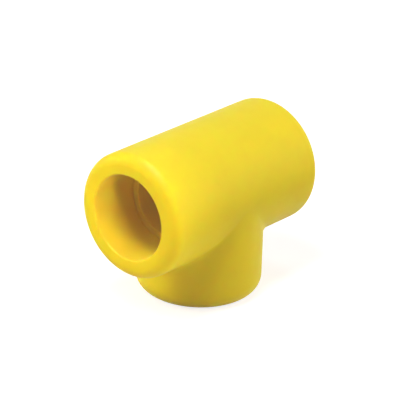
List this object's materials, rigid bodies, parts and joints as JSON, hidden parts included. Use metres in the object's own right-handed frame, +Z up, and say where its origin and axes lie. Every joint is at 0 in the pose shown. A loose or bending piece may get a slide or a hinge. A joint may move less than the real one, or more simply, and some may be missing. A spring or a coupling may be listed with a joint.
{
  "type": "socket fusion reducing tee",
  "caption": "One-piece yellow polyethylene pipe tee with two straight-through sockets and a smaller branch socket, joined by socket fusion.",
  "frame": {"origin": "centre of the branch's end face, which the tee stands on", "axes": "+X along the run, +Z up from the branch's end face towards the run, +Y across both"},
  "size_m": [0.078, 0.046, 0.0625],
  "materials": {
    "yellow_polyethylene": "satin moulded polyethylene, slightly waxy"
  },
  "bodies": {
    "root": {"tee_body": "yellow_polyethylene"}
  },
  "joints": []
}
